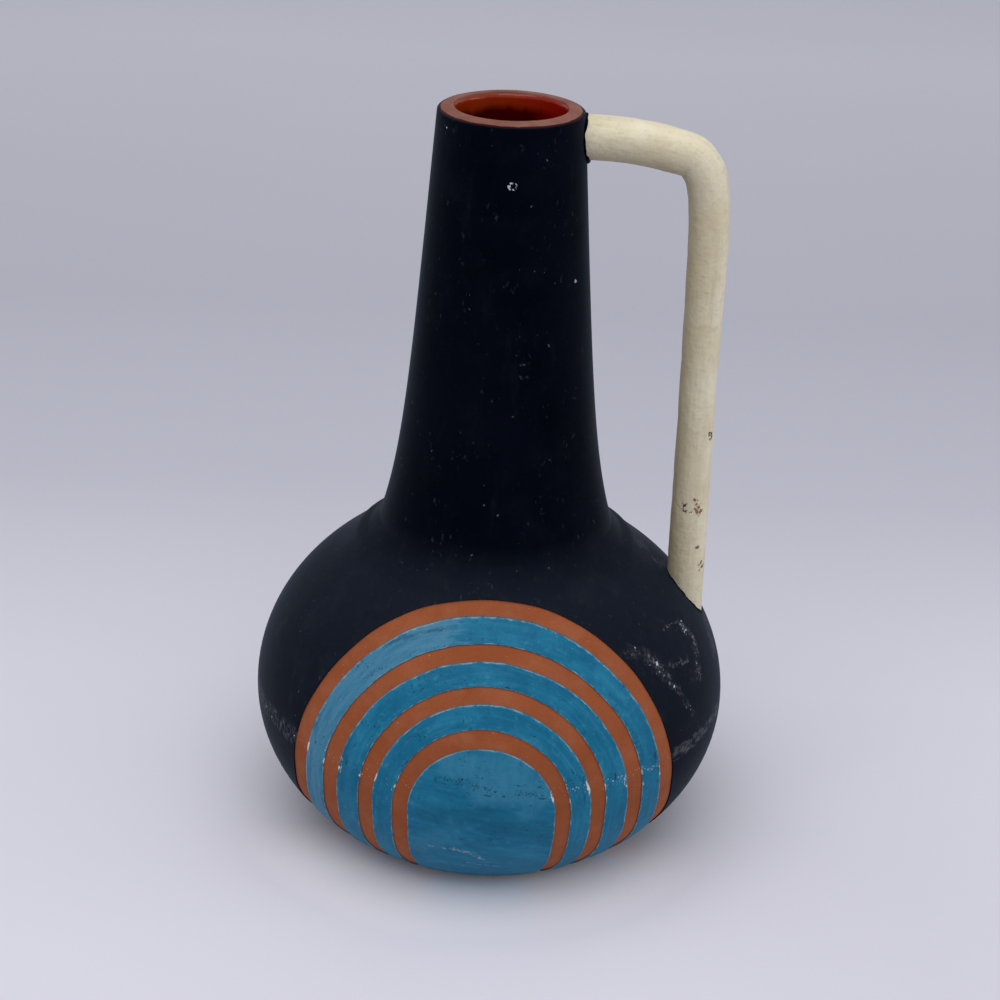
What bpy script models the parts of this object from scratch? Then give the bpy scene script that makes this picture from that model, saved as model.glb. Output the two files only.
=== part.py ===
"""Terracotta vase: a squat globe, a long tapering neck and a bent rod handle.

Black slip covers the clay outside, apart from a panel of blue enamel arches with bare clay between them. The
handle is painted cream and the inside is glazed. Metres, +Z up, with the origin under the middle of the foot.
The handle stands on +X and the panel faces -Y.
"""

import math

import bpy
import bmesh
from mathutils import Vector

# Globe, clay sizes
GLOBE_RADIUS = 0.0761
GLOBE_WIDEST_Z = 0.0467
SHOULDER_RISE = 0.0622
FOOT_RADIUS = 0.0458
GLOBE_WALL = 0.0055
GLOBE_FLOOR = 0.0065
FOOT_RING = 0.0090
FOOT_HOLLOW = 0.0015

# Neck, clay sizes
NECK_FOOT_RADIUS = 0.0388
NECK_LENGTH = 0.1384
RIM_RADIUS = 0.0215
NECK_WALL = 0.0043
NECK_FLARE = 0.0071
FLARE_REACH = 0.0220
LIP_ROUND = 0.0010

# Handle, clay sizes along the rod's centre line
HANDLE_REACH = 0.0608
BAR_BELOW_RIM = 0.0079
BAR_FALL_AT_NECK = math.radians(2.0)
BAR_FALL_AT_BEND = math.radians(11.0)
ROD_LEAN = math.radians(0.8)
BEND_RADIUS = 0.0112
BAR_RADIUS = 0.0059
BEND_GIRTH = 0.0058
ROD_RADIUS = 0.0051
ROD_SETTLE = 0.0300

# Joining slip and coats
LUTE = 0.0009
LUTE_BEAD = 0.0004
COAT = 0.00045
GLAZE = 0.0005
FIT_GAP = 0.0003
COAT_BELOW_RIM = 0.0012
COAT_ABOVE_FLOOR = 0.0018
GLAZE_BELOW_RIM = 0.0012

# Arch panel, sizes in the front view
PANEL_BELOW_CREASE = 0.0006
ARCH_SIDESTEP = -0.0009
LEGS_MEET_UNDER_FLOOR = 0.0040
LEG_FULLNESS = 3.0
CENTRE_ARCH = 0.0230
CLAY_BAND = 0.0042
BLUE_BAND = 0.0066
ARCHES = ("blue_arch_inner", "blue_arch_middle", "blue_arch_outer")

# Facets
TURN_STEPS = 40
DOME_RINGS = 7
BOWL_RINGS = 6
NECK_RINGS = 7
RING_CROWDING = 1.6
ARCH_STEPS = 28
LEG_STEPS = 4
LIP_STEPS = 3
BAR_STEPS = 3
BEND_STEPS = 6
ROD_SIDES_RESOLUTION = 6
SHARP_EDGE = math.radians(40)

CLAY_COLOUR = (0.33, 0.12, 0.06, 1.0)
BLACK_COLOUR = (0.008, 0.009, 0.013, 1.0)
BLUE_COLOUR = (0.03, 0.19, 0.28, 1.0)
CREAM_COLOUR = (0.66, 0.60, 0.43, 1.0)
GLAZE_COLOUR = (0.17, 0.03, 0.01, 1.0)


# Scene, collections and materials

def clear_scene():
    for obj in list(bpy.data.objects):
        bpy.data.objects.remove(obj)


def new_collection(name):
    collection = bpy.data.collections.new(name)
    bpy.context.scene.collection.children.link(collection)
    return collection


def new_material(name, colour, roughness):
    material = bpy.data.materials.new(name)
    material.use_nodes = True
    shader = material.node_tree.nodes["Principled BSDF"]
    shader.inputs["Base Color"].default_value = colour
    shader.inputs["Roughness"].default_value = roughness
    shader.inputs["Metallic"].default_value = 0.0
    material.diffuse_color = colour
    return material


def add_object(name, data, collection, material=None):
    obj = bpy.data.objects.new(name, data)
    collection.objects.link(obj)
    if material:
        data.materials.append(material)
    return obj


def add_cutter(name, data):
    cutter = add_object(name, data, cutters)
    cutter.hide_render = True
    cutter.display_type = "WIRE"
    return cutter


# Outlines, each a list of (radius, height) points

def joint_z():
    """Height of the globe's mouth, where its dome has drawn in to the neck's foot."""
    return GLOBE_WIDEST_Z + SHOULDER_RISE * math.sqrt(1 - (NECK_FOOT_RADIUS / GLOBE_RADIUS) ** 2)


def neck_foot_z():
    return joint_z() + LUTE + 2 * FIT_GAP


def rim_z():
    return neck_foot_z() + NECK_LENGTH


def belly_depth():
    """Half-height of the bowl's ellipse, which reaches the floor at the foot's radius."""
    return GLOBE_WIDEST_Z / math.sqrt(1 - (FOOT_RADIUS / GLOBE_RADIUS) ** 2)


def neck_radius(z):
    """A straight taper to the rim, with a flare that dies away above the joint."""
    climb = (z - joint_z()) / (rim_z() - joint_z())
    taper = (NECK_FOOT_RADIUS - NECK_FLARE) * (1 - climb) + RIM_RADIUS * climb
    return taper + NECK_FLARE * math.exp((joint_z() - z) / FLARE_REACH)


def arc(centre, radii, start, end, steps):
    """Points of an ellipse's arc, with its angles measured up from the outward direction."""
    points = []
    for i in range(steps + 1):
        angle = start + (end - start) * i / steps
        points.append((centre[0] + radii[0] * math.cos(angle), centre[1] + radii[1] * math.sin(angle)))
    return points


def neck_outline():
    """The neck's outside, from the rim down to the joint, closer spaced in the flare."""
    points = []
    for i in range(NECK_RINGS + 1):
        climb = (1 - i / NECK_RINGS) ** RING_CROWDING
        z = joint_z() + (rim_z() - joint_z()) * climb
        points.append((neck_radius(z), z))
    return points


def globe_outline():
    """The globe's outside, from its mouth down over the dome and the bowl to the floor."""
    mouth = math.acos(NECK_FOOT_RADIUS / GLOBE_RADIUS)
    low = -math.acos(FOOT_RADIUS / GLOBE_RADIUS)
    centre = (0.0, GLOBE_WIDEST_Z)
    dome = arc(centre, (GLOBE_RADIUS, SHOULDER_RISE), mouth, 0.0, DOME_RINGS)
    bowl = arc(centre, (GLOBE_RADIUS, belly_depth()), 0.0, low, BOWL_RINGS)
    return dome + bowl[1:]


def outside_outline():
    return neck_outline()[:-1] + globe_outline()


def clip_outline(points, high, low):
    """The stretch of a falling outline between two heights, so that its facets stay in line."""
    clipped = []
    for (r0, z0), (r1, z1) in zip(points, points[1:]):
        top = min(z0, high)
        bottom = max(z1, low)
        if top <= bottom:
            continue
        ends = [(r0 + (r1 - r0) * (z0 - z) / (z0 - z1), z) for z in (top, bottom)]
        clipped += ends[1:] if clipped else ends
    return clipped


def mouth_radius():
    return NECK_FOOT_RADIUS - NECK_WALL


def globe_inside_outline():
    """The globe's inside, from the middle of its floor up to its mouth."""
    centre = (0.0, GLOBE_WIDEST_Z)
    radius = GLOBE_RADIUS - GLOBE_WALL
    rise = SHOULDER_RISE - GLOBE_WALL
    depth = belly_depth() - GLOBE_WALL
    low = -math.asin((GLOBE_WIDEST_Z - GLOBE_FLOOR) / depth)
    bowl = arc(centre, (radius, depth), low, 0.0, BOWL_RINGS)
    dome = arc(centre, (radius, rise), 0.0, math.acos(mouth_radius() / radius), DOME_RINGS)
    return [(0.0, GLOBE_FLOOR)] + bowl + dome[1:]


def neck_inside_outline(bottom, top):
    """The neck's inside, an even wall in from its outside, from the foot up."""
    outside = clip_outline(neck_outline(), top, bottom)
    return [(radius - NECK_WALL, z) for radius, z in reversed(outside)]


def offset_outline(points, distance):
    """Moves an outline to its left by a distance, mitred at each point; ends on the axis stay on it."""
    moved = []
    for i, point in enumerate(points):
        here = Vector(point)
        before = Vector(points[max(i - 1, 0)])
        after = Vector(points[min(i + 1, len(points) - 1)])
        sides = [side.normalized() for side in (here - before, after - here) if side.length > 0]
        normals = [Vector((-side.y, side.x)) for side in sides]
        mitre = sum(normals, Vector((0.0, 0.0))).normalized()
        shift = mitre * (distance / mitre.dot(normals[0]))
        if point[0] == 0:
            shift = Vector((0.0, math.copysign(distance, shift.y)))
        moved.append((here.x + shift.x, here.y + shift.y))
    return moved


# Solids from outlines

def turned_mesh(name, outline, closed):
    """A mesh of edges in the XZ plane, for the Screw modifier to turn."""
    mesh = bpy.data.meshes.new(name)
    edges = [(i, i + 1) for i in range(len(outline) - 1)]
    if closed:
        edges.append((len(outline) - 1, 0))
    mesh.from_pydata([(radius, 0.0, z) for radius, z in outline], edges, [])
    return mesh


def turn(obj):
    screw = obj.modifiers.new("Turn", "SCREW")
    screw.axis = "Z"
    screw.steps = TURN_STEPS
    screw.render_steps = TURN_STEPS
    screw.use_merge_vertices = True
    screw.merge_threshold = 0.00001
    screw.use_smooth_shade = True


def turned_object(name, outline, material, closed=False):
    obj = add_object(name, turned_mesh(name, outline, closed), parts, material)
    turn(obj)
    return obj


def turned_skin(name, outline, thickness, material):
    """A coat of even thickness on the left of an outline."""
    obj = turned_object(name, outline, material)
    solidify = obj.modifiers.new("Coat", "SOLIDIFY")
    solidify.thickness = thickness
    solidify.offset = 1.0
    solidify.use_even_offset = True
    return obj


def body_cutter(name, distance):
    """The whole outside of the vase as a solid, swollen by a distance."""
    over_bar = [(RIM_RADIUS, rim_z() + BAR_RADIUS)]
    outline = offset_outline(over_bar + outside_outline(), distance)
    outline = [(0.0, outline[0][1])] + outline + [(0.0, outline[-1][1])]
    cutter = add_cutter(name, turned_mesh(name, outline, False))
    turn(cutter)
    return cutter


def cut(obj, cutter, operation="DIFFERENCE"):
    boolean = obj.modifiers.new(cutter.name, "BOOLEAN")
    boolean.operation = operation
    boolean.solver = "EXACT"
    boolean.object = cutter


def mesh_from_curve(curve_object):
    """The evaluated curve as a welded mesh, in place of the curve."""
    depsgraph = bpy.context.evaluated_depsgraph_get()
    mesh = bpy.data.meshes.new_from_object(curve_object.evaluated_get(depsgraph))
    work = bmesh.new()
    work.from_mesh(mesh)
    bmesh.ops.remove_doubles(work, verts=work.verts, dist=0.000001)
    bmesh.ops.recalc_face_normals(work, faces=work.faces)
    work.to_mesh(mesh)
    work.free()
    curve = curve_object.data
    mesh.name = curve_object.name
    bpy.data.objects.remove(curve_object)
    bpy.data.curves.remove(curve)
    return mesh


def rod_mesh(name, path, swell):
    """A round rod along (point, radius) steps, made thicker all round by the swell."""
    curve = bpy.data.curves.new(name, "CURVE")
    curve.dimensions = "3D"
    curve.bevel_depth = 1.0
    curve.bevel_resolution = ROD_SIDES_RESOLUTION
    curve.use_fill_caps = True
    spline = curve.splines.new("POLY")
    spline.points.add(len(path) - 1)
    for point, (place, radius) in zip(spline.points, path):
        point.co = (place.x, place.y, place.z, 1.0)
        point.radius = radius + swell
    mesh = mesh_from_curve(add_object(name, curve, cutters))
    mesh.shade_smooth()
    mesh.set_sharp_from_angle(angle=SHARP_EDGE)
    return mesh


# Handle's centre line

def bar_direction():
    """The bar's way as it runs into the bend."""
    return Vector((math.cos(BAR_FALL_AT_BEND), 0.0, -math.sin(BAR_FALL_AT_BEND)))


def rod_direction():
    return Vector((math.sin(ROD_LEAN), 0.0, -math.cos(ROD_LEAN)))


def bar_end_x():
    """Where the bar runs into the bend that brings it round to the rod."""
    return HANDLE_REACH - BEND_RADIUS * (math.cos(ROD_LEAN) - math.sin(BAR_FALL_AT_BEND))


def bar_place(x):
    """The bar's centre line, which leaves the neck almost level and falls more steeply outwards."""
    run = x - RIM_RADIUS
    steepening = math.tan(BAR_FALL_AT_BEND) - math.tan(BAR_FALL_AT_NECK)
    fall = run * math.tan(BAR_FALL_AT_NECK) + steepening * run * run / (2 * (bar_end_x() - RIM_RADIUS))
    return Vector((x, 0.0, rim_z() - BAR_BELOW_RIM - fall))


def bar_points():
    """From inside the neck's wall out to the bend."""
    root = RIM_RADIUS - NECK_WALL
    points = []
    for i in range(BAR_STEPS):
        points.append((bar_place(root + (bar_end_x() - root) * i / BAR_STEPS), BAR_RADIUS))
    return points


def bend_points():
    """The round bend between bar and rod, where the clay is a little drawn out."""
    start = bar_place(bar_end_x())
    turn_angle = bar_direction().angle(rod_direction())
    inward = Vector((-math.sin(BAR_FALL_AT_BEND), 0.0, -math.cos(BAR_FALL_AT_BEND)))
    centre = start + inward * BEND_RADIUS
    points = []
    for i in range(BEND_STEPS + 1):
        share = i / BEND_STEPS
        angle = turn_angle * share
        spoke = bar_direction() * math.sin(angle) - inward * math.cos(angle)
        swelling = math.sin(math.pi * min(share, 0.5))
        points.append((centre + spoke * BEND_RADIUS, BAR_RADIUS + (BEND_GIRTH - BAR_RADIUS) * swelling))
    return points


def rod_points():
    """From the bend down through the shoulder to the level of the globe's widest ring."""
    last = bend_points()[-1][0]
    settle = last + rod_direction() * ROD_SETTLE
    root = last + rod_direction() * (last.z - GLOBE_WIDEST_Z)
    return [(settle, ROD_RADIUS), (root, ROD_RADIUS)]


def handle_path():
    return bar_points() + bend_points() + rod_points()


# Arch outlines, front view

def panel_half_width():
    """The centre arch, then a clay and a blue band for each arch, then the clay band outside them."""
    return CENTRE_ARCH + len(ARCHES) * (CLAY_BAND + BLUE_BAND) + CLAY_BAND


def arch_spring_z():
    """Height of the arches' common centre, with the panel's top just under the crease of the neck."""
    return joint_z() - PANEL_BELOW_CREASE - panel_half_width()


def arch_points(half_width):
    """A half circle on the spring line, over legs that run down plumb and draw in near the floor."""
    half_circle = arc((0.0, 0.0), (half_width, half_width), 0.0, math.pi, ARCH_STEPS)
    right_leg = []
    for i in range(1, LEG_STEPS + 1):
        drop = arch_spring_z() * math.sin(math.pi / 2 * i / LEG_STEPS)
        share = drop / (arch_spring_z() + LEGS_MEET_UNDER_FLOOR)
        right_leg.append((half_width * (1 - share**LEG_FULLNESS) ** (1 / LEG_FULLNESS), -drop))
    left_leg = [(-x, z) for x, z in right_leg]
    return half_circle + left_leg + right_leg[::-1]


def arch_cutter(name, half_width):
    """The arch as a block that reaches from the vase's axis out past its front."""
    curve = bpy.data.curves.new(name, "CURVE")
    curve.dimensions = "2D"
    curve.fill_mode = "BOTH"
    curve.extrude = GLOBE_RADIUS
    outline = arch_points(half_width)
    spline = curve.splines.new("POLY")
    spline.points.add(len(outline) - 1)
    for point, (x, z) in zip(spline.points, outline):
        point.co = (x, z, 0.0, 1.0)
    spline.use_cyclic_u = True
    cutter = add_cutter(name, mesh_from_curve(add_object(name, curve, cutters)))
    cutter.rotation_euler = (math.pi / 2, 0.0, 0.0)
    cutter.location = (ARCH_SIDESTEP, -GLOBE_RADIUS, arch_spring_z())
    return cutter


# Pieces

def make_globe():
    foot = [
        (FOOT_RADIUS - FOOT_RING, 0.0),
        (FOOT_RADIUS - FOOT_RING - FOOT_HOLLOW, FOOT_HOLLOW),
        (0.0, FOOT_HOLLOW),
    ]
    mouth = [(mouth_radius(), joint_z())]
    return turned_object("globe", globe_inside_outline() + mouth + globe_outline() + foot, clay)


def make_neck_lute():
    low = joint_z() + FIT_GAP
    high = low + LUTE
    inner = mouth_radius() + FIT_GAP
    outer = neck_radius(high) - FIT_GAP
    return turned_object("neck_lute", [(inner, high), (outer, high), (outer, low), (inner, low)], slip, True)


def make_neck():
    foot = neck_foot_z()
    top = rim_z() - LIP_ROUND
    outside = clip_outline(neck_outline(), top, foot)
    inside = neck_inside_outline(foot, top)
    crown = (LIP_ROUND, LIP_ROUND)
    lip_out = arc((outside[0][0] - LIP_ROUND, top), crown, math.pi / 2, 0.0, LIP_STEPS)
    lip_in = arc((inside[-1][0] + LIP_ROUND, top), crown, math.pi, math.pi / 2, LIP_STEPS)
    return turned_object("neck", inside[:-1] + lip_in + lip_out[:-1] + outside, clay, True)


def make_handle(body):
    handle = add_object("handle", rod_mesh("handle", handle_path(), 0.0), parts, clay)
    cut(handle, body)
    return handle


def make_handle_coat(body):
    """The paint's sleeve: a rod swollen by the coat, less a rod swollen by the fit."""
    coat = add_object(
        "handle_cream_coat", rod_mesh("handle_cream_coat", handle_path(), FIT_GAP + COAT), parts, cream
    )
    core = add_cutter("handle_core_cutter", rod_mesh("handle_core_cutter", handle_path(), FIT_GAP))
    cut(coat, body)
    cut(coat, core)
    return coat


def make_handle_lute(name, path, inner_body, outer_body):
    """A pad of joining slip that fills the seam and stands out round the rod as a bead."""
    lute = add_object(name, rod_mesh(name, path, FIT_GAP + COAT + LUTE_BEAD), parts, slip)
    cut(lute, outer_body, "INTERSECT")
    cut(lute, inner_body)
    return lute


def make_glaze_lining():
    inside = neck_inside_outline(joint_z(), rim_z() - GLAZE_BELOW_RIM)
    wet_side = globe_inside_outline() + inside
    return turned_skin("glaze_lining", offset_outline(wet_side, FIT_GAP), GLAZE, glaze)


def coat_outline():
    outside = clip_outline(outside_outline(), rim_z() - COAT_BELOW_RIM, COAT_ABOVE_FLOOR)
    return offset_outline(outside, FIT_GAP)


def make_black_coat(panel, stubs):
    coat = turned_skin("black_slip_coat", coat_outline(), COAT, slip)
    cut(coat, panel)
    for stub in stubs:
        cut(coat, stub)
    return coat


def make_blue_band(name, outer, inner=None):
    """One enamel band: the globe's coat inside one arch and outside the next."""
    outside = clip_outline(globe_outline(), joint_z(), COAT_ABOVE_FLOOR)
    band = turned_skin(name, offset_outline(outside, FIT_GAP), COAT, blue)
    cut(band, outer, "INTERSECT")
    if inner:
        cut(band, inner)
    return band


def make_arches():
    """Works outwards from the centre arch: a clay band, then a blue one, three times over."""
    edge = CENTRE_ARCH
    make_blue_band("blue_centre", arch_cutter("blue_centre_cutter", edge))
    for name in ARCHES:
        inner = arch_cutter(name + "_inner_cutter", edge + CLAY_BAND)
        edge += CLAY_BAND + BLUE_BAND
        outer = arch_cutter(name + "_outer_cutter", edge)
        make_blue_band(name, outer, inner)
    return arch_cutter("panel_cutter", panel_half_width())


clear_scene()
parts = new_collection("terracotta_vase")
cutters = new_collection("cutters")
clay = new_material("terracotta_clay", CLAY_COLOUR, 0.85)
slip = new_material("black_slip", BLACK_COLOUR, 0.62)
blue = new_material("blue_enamel", BLUE_COLOUR, 0.55)
cream = new_material("cream_paint", CREAM_COLOUR, 0.5)
glaze = new_material("honey_glaze", GLAZE_COLOUR, 0.12)

make_globe()
make_neck_lute()
make_neck()
make_glaze_lining()

seam = body_cutter("seam_cutter", FIT_GAP)
seat = body_cutter("seat_cutter", FIT_GAP + LUTE)
clear_of_seat = body_cutter("handle_end_cutter", 2 * FIT_GAP + LUTE)
make_handle(clear_of_seat)
make_handle_coat(clear_of_seat)
make_handle_lute("handle_top_lute", bar_points(), seam, seat)
make_handle_lute("handle_foot_lute", rod_points(), seam, seat)

stub_swell = 2 * FIT_GAP + COAT + LUTE_BEAD
top_stub = add_cutter("top_stub_cutter", rod_mesh("top_stub_cutter", bar_points(), stub_swell))
foot_stub = add_cutter("foot_stub_cutter", rod_mesh("foot_stub_cutter", rod_points(), stub_swell))
make_black_coat(make_arches(), (top_stub, foot_stub))
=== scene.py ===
import math

import bpy
from mathutils import Matrix, Vector


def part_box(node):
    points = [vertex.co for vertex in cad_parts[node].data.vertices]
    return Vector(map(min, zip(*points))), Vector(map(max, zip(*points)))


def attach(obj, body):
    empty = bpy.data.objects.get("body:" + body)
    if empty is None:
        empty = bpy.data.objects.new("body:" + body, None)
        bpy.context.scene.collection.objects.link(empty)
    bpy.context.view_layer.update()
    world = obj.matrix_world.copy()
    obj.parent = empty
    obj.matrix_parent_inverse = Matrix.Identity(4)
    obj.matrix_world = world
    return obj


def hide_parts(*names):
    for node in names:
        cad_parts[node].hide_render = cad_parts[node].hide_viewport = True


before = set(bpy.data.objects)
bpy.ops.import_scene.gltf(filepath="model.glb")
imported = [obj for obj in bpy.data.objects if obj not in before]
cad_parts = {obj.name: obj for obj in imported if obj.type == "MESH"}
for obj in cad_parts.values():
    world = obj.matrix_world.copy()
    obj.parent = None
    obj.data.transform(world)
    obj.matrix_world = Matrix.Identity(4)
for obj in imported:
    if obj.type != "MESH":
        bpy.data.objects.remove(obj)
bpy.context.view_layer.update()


# Globe: the body of the vase, thrown on the wheel in red clay and closed in to a shoulder.
# Its outside follows two half ellipses that meet at the widest ring, and the foot is turned hollow.
# The clay is left bare between the painted bands, so it is finished as a surface that shows.
globe_low, globe_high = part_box("globe")
GLOBE_RADIUS = (globe_high.x - globe_low.x) / 2
CREASE_Z = globe_high.z
WIDEST_Z = 0.0467
SHOULDER_RISE = 0.0622
FOOT_RADIUS = 0.0458
FOOT_RING = 0.0090
FOOT_HOLLOW = 0.0015
FOOT_EDGE = 0.0008
FOOT_SHADE_REACH = 0.0024
GLOBE_WALL = 0.0055
GLOBE_FLOOR = 0.0065
MOUTH_RADIUS = 0.0345
BOWL_DEPTH = WIDEST_Z / math.sqrt(1 - (FOOT_RADIUS / GLOBE_RADIUS) ** 2)
SHOULDER_FILL = 0.0021
SHOULDER_FILL_REACH = 0.0080
RUBBED_LEVEL = WIDEST_Z + 0.0022
RUBBED_WIDTH = 0.0040
CLAY_SWELL = 0.0003
CLAY_RELIEF = 0.00012
WHEEL_STEPS = 240
WHEEL_AXIS = 0.001
WHEEL_WELD = 0.000002


class Wire:
    """What comes out of a node, which adds up and multiplies like a number."""

    def __init__(self, socket):
        self.socket = socket

    def __add__(self, other):
        return work_out("ADD", self, other)

    def __radd__(self, other):
        return work_out("ADD", other, self)

    def __sub__(self, other):
        return work_out("SUBTRACT", self, other)

    def __rsub__(self, other):
        return work_out("SUBTRACT", other, self)

    def __mul__(self, other):
        return work_out("MULTIPLY", self, other)

    def __rmul__(self, other):
        return work_out("MULTIPLY", other, self)

    def __truediv__(self, other):
        return work_out("DIVIDE", self, other)


def fill(node, values):
    """Fills a node's inputs, by wire or with plain values."""
    for key, value in values.items():
        if isinstance(value, Wire):
            node.id_data.links.new(value.socket, node.inputs[key])
        else:
            node.inputs[key].default_value = value


def add_node(tree, kind, values=None, out=0, **settings):
    """Adds a node and gives the wire from one of its outputs."""
    node = tree.nodes.new(kind)
    for key, value in settings.items():
        setattr(node, key, value)
    fill(node, values or {})
    return Wire(node.outputs[out]) if node.outputs else None


def tree_of(*terms):
    """The tree of the first wire among some terms."""
    return next(term.socket.id_data for term in terms if isinstance(term, Wire))


def work_out(operation, *terms):
    """A sum on wires and numbers."""
    return add_node(tree_of(*terms), "ShaderNodeMath", dict(enumerate(terms)), operation=operation)


def work_out_way(operation, first, second=(0.0, 0.0, 0.0)):
    """A sum on places and directions, or the distance or dot product of two."""
    values = {0: first, "Scale" if operation == "SCALE" else 1: second}
    out = "Value" if operation in ("DISTANCE", "DOT_PRODUCT") else "Vector"
    return add_node(tree_of(first, second), "ShaderNodeVectorMath", values, out, operation=operation)


def parts(place):
    """The three parts of a place or direction."""
    node = tree_of(place).nodes.new("ShaderNodeSeparateXYZ")
    fill(node, {0: place})
    return [Wire(part) for part in node.outputs]


def together(x, y, z=0.0):
    """A place or direction from its three parts."""
    return add_node(tree_of(x, y, z), "ShaderNodeCombineXYZ", {0: x, 1: y, 2: z})


def between(value, low, high, start=0.0, end=1.0):
    """The value's way from low to high, as a share that stops at both ends."""
    return add_node(tree_of(value), "ShaderNodeMapRange", {
        "Value": value, "From Min": low, "From Max": high, "To Min": start, "To Max": end,
    })


def grain(place, scale, detail=3.0, roughness=0.5, seed=0.0, out="Fac"):
    """Soft random patches, from 0 to 1, of about one over the scale in metres."""
    return add_node(tree_of(place), "ShaderNodeTexNoise", {
        "Vector": place, "W": seed, "Scale": scale, "Detail": detail, "Roughness": roughness,
    }, out, noise_dimensions="4D")


def shaping_tree(name, counts, sizes):
    """A new tree that takes geometry, whole counts, sizes and a finish."""
    tree = bpy.data.node_groups.new(name, "GeometryNodeTree")
    takes = [("Geometry", "Geometry")] + [(label, "Int") for label in counts]
    takes += [(label, "Float") for label in sizes] + [("Finish", "Material")]
    for label, kind in takes:
        tree.interface.new_socket(label, in_out="INPUT", socket_type="NodeSocket" + kind)
    tree.interface.new_socket("Geometry", in_out="OUTPUT", socket_type="NodeSocketGeometry")
    return tree, {socket.name: Wire(socket) for socket in tree.nodes.new("NodeGroupInput").outputs}


def end_tree(given, shape):
    """Closes a tree: smooth faces, real geometry and the finish."""
    tree = tree_of(shape)
    shape = add_node(tree, "GeometryNodeSetShadeSmooth", {"Geometry": shape})
    shape = add_node(tree, "GeometryNodeRealizeInstances", {"Geometry": shape})
    shape = add_node(tree, "GeometryNodeSetMaterial", {"Geometry": shape, "Material": given["Finish"]})
    add_node(tree, "NodeGroupOutput", {"Geometry": shape})


def put_in_scene(name, data):
    """A new object with its mesh, curve, light or lens."""
    made = bpy.data.objects.new(name, data)
    bpy.context.scene.collection.objects.link(made)
    return made


def shape_piece(name, tree, source, sizes, crisp=40):
    """Runs a tree on a curve or mesh and keeps what it makes as a plain mesh."""
    carrier = put_in_scene(name + "_carrier", source)
    modifier = carrier.modifiers.new("shaping", "NODES")
    modifier.node_group = tree
    for item in tree.interface.items_tree:
        if item.in_out == "INPUT" and item.name in sizes:
            modifier[item.identifier] = sizes[item.name]
    depsgraph = bpy.context.evaluated_depsgraph_get()
    mesh = bpy.data.meshes.new_from_object(carrier.evaluated_get(depsgraph))
    mesh.name = name
    mesh.materials.clear()
    mesh.materials.append(sizes["Finish"])
    mesh.polygons.foreach_set("material_index", [0] * len(mesh.polygons))
    carrier.modifiers.remove(modifier)
    bpy.data.objects.remove(carrier)
    mesh.set_sharp_from_angle(angle=math.radians(crisp))
    return put_in_scene(name, mesh)


wheel, given = shaping_tree(
    "throwing_wheel", ["Steps"], ["Edge Swing", "Edge Scale", "Edge Low", "Edge High", "Seed"]
)
ring = add_node(wheel, "GeometryNodeCurvePrimitiveCircle", {
    "Resolution": given["Steps"], "Radius": WHEEL_AXIS,
}, "Curve")
thrown = add_node(wheel, "GeometryNodeCurveToMesh", {"Curve": ring, "Profile Curve": given["Geometry"]})
thrown = add_node(wheel, "GeometryNodeMergeByDistance", {"Geometry": thrown, "Distance": WHEEL_WELD})
x, y, z = parts(add_node(wheel, "GeometryNodeInputPosition"))
outward = work_out_way("NORMALIZE", together(x, y))
edge = grain(outward, given["Edge Scale"], 3.0, seed=given["Seed"])
lift = (edge - 0.5) * given["Edge Swing"] * between(z, given["Edge Low"], given["Edge High"])
end_tree(given, add_node(wheel, "GeometryNodeSetPosition", {
    "Geometry": thrown, "Offset": together(0.0, 0.0, lift),
}))


def drawn_curve(name, stations, closed):
    """A line through stations of place and half thickness."""
    curve = bpy.data.curves.new(name, "CURVE")
    curve.dimensions = "3D"
    spline = curve.splines.new("POLY")
    spline.points.add(len(stations) - 1)
    for point, (place, thickness) in zip(spline.points, stations):
        point.co = (*place, 1.0)
        point.radius = thickness
    spline.use_cyclic_u = closed
    return curve


def turned_piece(name, outline, finish, closed=False, swing=0.0, scale=3.0, low=1.0, high=2.0, seed=1.0):
    """Pottery turned from radii and heights, inside upwards and outside downwards, with an uneven edge."""
    stations = [((radius - WHEEL_AXIS, -z, 0.0), 1.0) for radius, z in outline]
    return shape_piece(name, wheel, drawn_curve(name, stations, closed), {
        "Steps": WHEEL_STEPS, "Edge Swing": swing, "Edge Scale": scale, "Edge Low": low, "Edge High": high,
        "Seed": seed, "Finish": finish,
    })


def steps(count):
    """Even shares from 0 to 1."""
    return [i / count for i in range(count + 1)]


def globe_radius(z, swell):
    """Two half ellipses, filled up a little at the top where the neck was worked on."""
    near = max(0.0, 1 - max(0.0, CREASE_Z - z) / SHOULDER_FILL_REACH)
    z -= SHOULDER_FILL * near * near
    rise = SHOULDER_RISE if z > WIDEST_Z else BOWL_DEPTH
    return (GLOBE_RADIUS + swell) * math.sqrt(max(0.0, 1 - ((z - WIDEST_Z) / (rise + swell)) ** 2))


def globe_heights(swell, high, low, count):
    """Heights spaced evenly round the two ellipses, from high to low."""
    top = math.asin((high - WIDEST_Z) / (SHOULDER_RISE + swell))
    bottom = math.asin((low - WIDEST_Z) / (BOWL_DEPTH + swell))
    heights = []
    for step in steps(count):
        turn = top + (bottom - top) * step
        rise = SHOULDER_RISE if turn > 0 else BOWL_DEPTH
        heights.append(WIDEST_Z + (rise + swell) * math.sin(turn))
    return heights


def inside_outline(inset, count):
    """The globe's inside from the middle of its floor up to the mouth, set in by a coat."""
    reach = GLOBE_RADIUS - GLOBE_WALL - inset
    bowl = BOWL_DEPTH - GLOBE_WALL - inset
    low = -math.asin((WIDEST_Z - GLOBE_FLOOR - inset) / bowl)
    high = math.acos((MOUTH_RADIUS - inset) / reach)
    outline = [(0.0, GLOBE_FLOOR + inset)]
    for step in steps(count):
        turn = low + (high - low) * step
        rise = SHOULDER_RISE - GLOBE_WALL - inset if turn > 0 else bowl
        outline.append((reach * math.cos(turn), WIDEST_Z + rise * math.sin(turn)))
    return outline


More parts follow.
